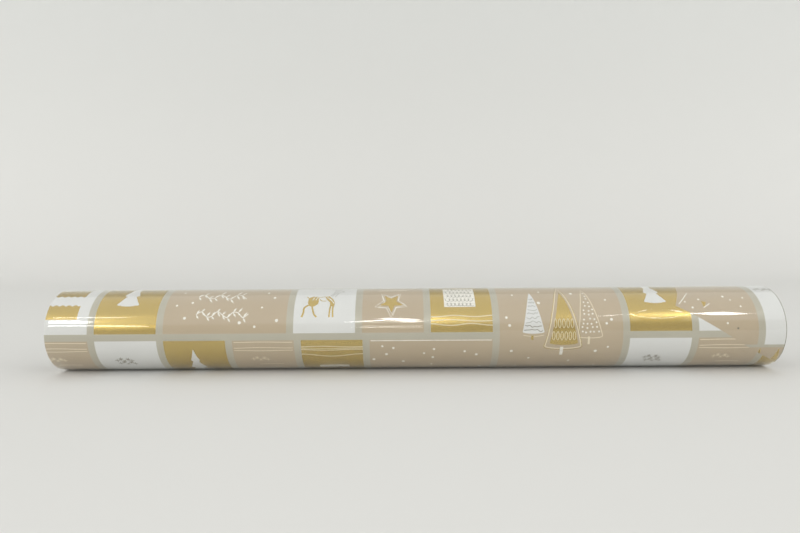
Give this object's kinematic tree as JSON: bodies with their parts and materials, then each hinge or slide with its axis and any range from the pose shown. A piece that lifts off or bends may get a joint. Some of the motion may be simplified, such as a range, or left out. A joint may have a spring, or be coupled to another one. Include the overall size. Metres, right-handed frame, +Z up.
{
  "type": "wrapping paper roll",
  "caption": "A roll of gift wrap, printed with square and wide panels in gold, taupe and white, wound on a cardboard core and closed in a clear shrink film sleeve.",
  "frame": {"origin": "Under the middle of the roll, on the plane it lies on.", "axes": "+X runs along the roll towards the end with the loose tongue of the sheet, -Y is the front, +Z is up."},
  "size_m": [0.7622, 0.0869, 0.0869],
  "materials": {
    "core_board": "matte",
    "tape": "satin",
    "sheet_print": "satin",
    "film": "gloss"
  },
  "bodies": {
    "root": {"core_inner_ply": "core_board", "core_middle_ply": "core_board", "core_outer_ply": "core_board", "start_tape": "tape", "printed_sheet": "sheet_print", "film_sleeve": "film"}
  },
  "joints": []
}
